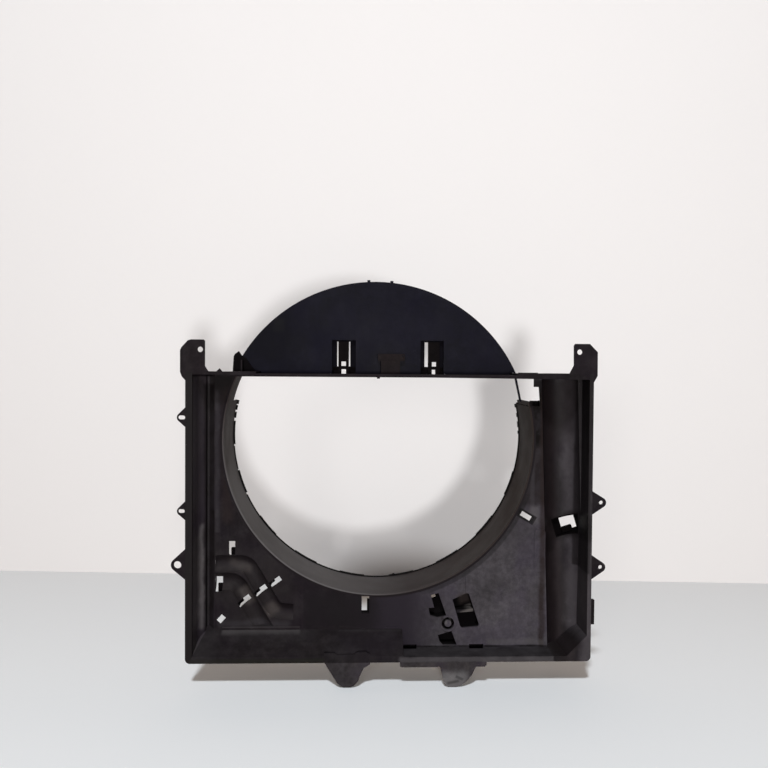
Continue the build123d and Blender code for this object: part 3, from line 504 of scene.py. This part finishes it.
class SHROUD_OT_flash(Operator):
    """Stand the ragged flash on the fan ring's right end"""
    bl_idname = "shroud.flash"
    bl_label = "Add the ring's flash"

    def execute(self, context):
        end = math.radians(RIGHT_END)
        corner = (FAN_X + RING_IN * math.cos(end), RING_FRONT, FAN_Z + RING_IN * math.sin(end))
        torn = moulded("torn_nylon", BLACK, SOOT_AND_SHADE, BROWN, 0.1, relief=0.8, grit=420.0, gloss=0.03)
        torn_edge("ring_flash", corner, (0, RING_BACK - RING_FRONT, 0), (-math.sin(end), 0, math.cos(end)),
                  context.scene.shroud_finish.flash_height, torn)
        return {"FINISHED"}


class SHROUD_OT_hood(Operator):
    """Give the hood its blue-black plastic"""
    bl_idname = "shroud.hood"
    bl_label = "Dress the hood"

    def execute(self, context):
        look = context.scene.shroud_finish
        plastic = moulded("hood_plastic", look.hood_colour, look.hood_worn, look.dust_colour, 0.08,
                          HOOD_WEAR, deep=HOOD_BACK, shade=0.6, gloss=0.05)
        for node in HOOD_NODES:
            dress(node, plastic)
        return {"FINISHED"}


def plane(name, corners, colour):
    """A pale sheet that shows its own colour, and throws back less light than it shows."""
    mesh = bpy.data.meshes.new(name)
    shape = bmesh.new()
    shape.faces.new([shape.verts.new(corner) for corner in corners])
    shape.to_mesh(mesh)
    shape.free()
    made = bpy.data.objects.new(name, mesh)
    bpy.context.scene.collection.objects.link(made)
    paint = Finish(name)
    tone = paint.mix(paint.noise(1.7, 2.0, 0.5) * 0.2, rgb(colour), rgb([c * 0.97 for c in colour]))
    path = paint.node("ShaderNodeLightPath")
    seen = (paint.field(path, "Is Camera Ray") + paint.field(path, "Is Glossy Ray")
            + paint.field(path, "Is Transmission Ray")).clamp()
    returned = rgb([c * share for c, share in zip(colour, RETURNED)])
    mesh.materials.append(paint.surface(Base_Color=paint.mix(seen, returned, tone), Roughness=MATT))
    paint.open_from_behind()


def lamp(name, place, target, size, power, tint):
    """A round, soft lamp turned to a target."""
    data = bpy.data.lights.new(name, "AREA")
    data.shape = "DISK"
    data.size = size
    data.energy = power
    data.color = tint
    made = bpy.data.objects.new(name, data)
    made.location = place
    made.rotation_euler = (Vector(target) - Vector(place)).to_track_quat("-Z", "Y").to_euler()
    bpy.context.scene.collection.objects.link(made)


# place in metres, then turns in degrees
CAMERA_PLACE = (-0.0545, -1.1714, -0.0219)
CAMERA_YAW, CAMERA_PITCH, CAMERA_ROLL = 2.126, -1.314, 0.389
FILM_WIDTH = 36
# the wall's turn in degrees, and how far the stage reaches sideways and upward in metres
WALL_TURN, SPAN, WALL_TALL = 4.3, 6.0, 5
# the share of its colour that the stage throws back, its roughness, and the glow of the room
RETURNED = (0.42, 0.32, 0.25)
MATT = 0.8
ROOM_GLOW = (0.09, 0.0711, 0.0594)
# name, place, size, power, tint
LAMPS = (("key", (-0.6, -4.0, 4.4), 0.66, 268, (0.97, 0.98, 1.0)),
         ("front fill", (0.17, -2.8, -0.22), 0.24, 42, (1.0, 0.98, 0.97)),
         ("left fill", (-0.9, -3.0, 0.35), 0.6, 11, (1.0, 0.93, 0.88)),
         ("right fill", (0.32, -3.0, 0.0), 0.3, 9, (1.0, 0.92, 0.86)))


class SHROUD_OT_stage(Operator):
    """Set the floor, the wall, the lights and the camera"""
    bl_idname = "shroud.stage"
    bl_label = "Set the stage"

    def execute(self, context):
        setup = context.scene.shroud_stage
        floor_z = LOW.z
        turn = math.tan(math.radians(WALL_TURN))
        far = setup.wall_gap

        def wall_y(x):
            return far - x * turn

        left, right = (-SPAN, wall_y(-SPAN)), (SPAN, wall_y(SPAN))
        top_z = floor_z + WALL_TALL
        plane("floor", [(-SPAN, -SPAN, floor_z), (SPAN, -SPAN, floor_z), (*right, floor_z), (*left, floor_z)],
              setup.floor_colour)
        plane("wall", [(*left, floor_z), (*right, floor_z), (*right, top_z), (*left, top_z)],
              setup.wall_colour)
        centre = (LOW + HIGH) / 2
        for name, place, size, power, tint in LAMPS:
            lamp(name, place, centre, size, power, tint)
        world = bpy.data.worlds.new("room")
        world.use_nodes = True
        tree = world.node_tree
        path = tree.nodes.new("ShaderNodeLightPath")
        sky = tree.nodes.new("ShaderNodeMix")
        sky.data_type = "RGBA"
        sky.inputs[6].default_value = rgb(ROOM_GLOW)
        sky.inputs[7].default_value = rgb(setup.wall_colour)
        tree.links.new(path.outputs["Is Camera Ray"], sky.inputs[0])
        tree.links.new(sky.outputs[2], tree.nodes["Background"].inputs["Color"])
        context.scene.world = world
        data = bpy.data.cameras.new("camera")
        data.lens = setup.lens
        data.sensor_width = FILM_WIDTH
        camera = bpy.data.objects.new("camera", data)
        camera.location = CAMERA_PLACE
        aim = Euler((math.radians(90 + CAMERA_PITCH), 0, math.radians(-CAMERA_YAW))).to_matrix()
        camera.rotation_euler = (aim @ Matrix.Rotation(math.radians(CAMERA_ROLL), 3, "Z")).to_euler()
        context.scene.collection.objects.link(camera)
        context.scene.camera = camera
        context.scene.view_settings.view_transform = "Standard"
        return {"FINISHED"}


class SHROUD_PT_panel(Panel):
    """Sidebar list of the shroud's steps"""
    bl_label = "Fan shroud"
    bl_idname = "SHROUD_PT_panel"
    bl_space_type = "VIEW_3D"
    bl_region_type = "UI"
    bl_category = "Shroud"

    def draw(self, context):
        for group in (context.scene.shroud_finish, context.scene.shroud_stage):
            box = self.layout.box()
            for key in group.__annotations__:
                box.prop(group, key)
        for step in STEPS:
            self.layout.operator(step.bl_idname)


STEPS = (SHROUD_OT_cowl, SHROUD_OT_flash, SHROUD_OT_hood, SHROUD_OT_stage)
CLASSES = (ShroudFinish, ShroudStage, *STEPS, SHROUD_PT_panel)


def register():
    for cls in CLASSES:
        bpy.utils.register_class(cls)
    bpy.types.Scene.shroud_finish = PointerProperty(type=ShroudFinish)
    bpy.types.Scene.shroud_stage = PointerProperty(type=ShroudStage)


def unregister():
    del bpy.types.Scene.shroud_stage
    del bpy.types.Scene.shroud_finish
    for cls in reversed(CLASSES):
        bpy.utils.unregister_class(cls)


def main():
    register()
    for step in STEPS:
        namespace, name = step.bl_idname.split(".")
        getattr(getattr(bpy.ops, namespace), name)()


if __name__ == "__main__":
    main()
